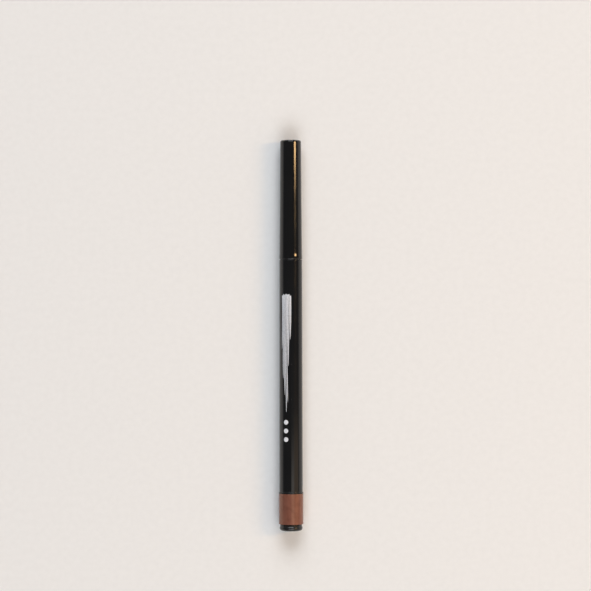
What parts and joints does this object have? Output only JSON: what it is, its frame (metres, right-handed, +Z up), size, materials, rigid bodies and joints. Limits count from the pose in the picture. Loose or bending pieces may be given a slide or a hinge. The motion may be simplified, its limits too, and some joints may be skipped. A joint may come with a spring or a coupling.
{
  "type": "furniture touch-up marker",
  "caption": "Slim round touch-up marker: pull-off cap over a flexible fibre nib, tapered black barrel with an inner stain reservoir, and a brown colour band by its end plug.",
  "frame": {"origin": "on the surface that the marker lies on, under the middle of its length and of its width", "axes": "+Y along the pen's axis from the end plug to the cap, +Z up, +X to the right seen from above with the cap away from the viewer"},
  "size_m": [0.0088, 0.141, 0.0089],
  "materials": {
    "barrel_satin_black": "satin moulded polypropylene",
    "band_brown": "smooth matt brown, the colour of the stain",
    "plug_black": "semi-gloss moulded",
    "section_black": "semi-gloss moulded",
    "nib_fibre": "bonded fibre, stained brown",
    "reservoir_fibre": "bundled fibre, soaked in stain",
    "film_clear": "thin wrapping film",
    "cap_gloss_black": "polished moulded",
    "inner_cap_natural": "natural soft polyethylene"
  },
  "bodies": {
    "pen": {"barrel": "barrel_satin_black", "colour_band": "band_brown", "end_plug": "plug_black", "tip_section": "section_black", "brush_nib": "nib_fibre", "ink_reservoir": "reservoir_fibre", "reservoir_film": "film_clear"},
    "cap": {"cap_shell": "cap_gloss_black", "inner_cap": "inner_cap_natural"}
  },
  "joints": [
    {"name": "cap_pull", "type": "slide", "parent": "pen", "child": "cap", "axis": [0, 1, 0], "range_m": [0, 0.045]}
  ]
}
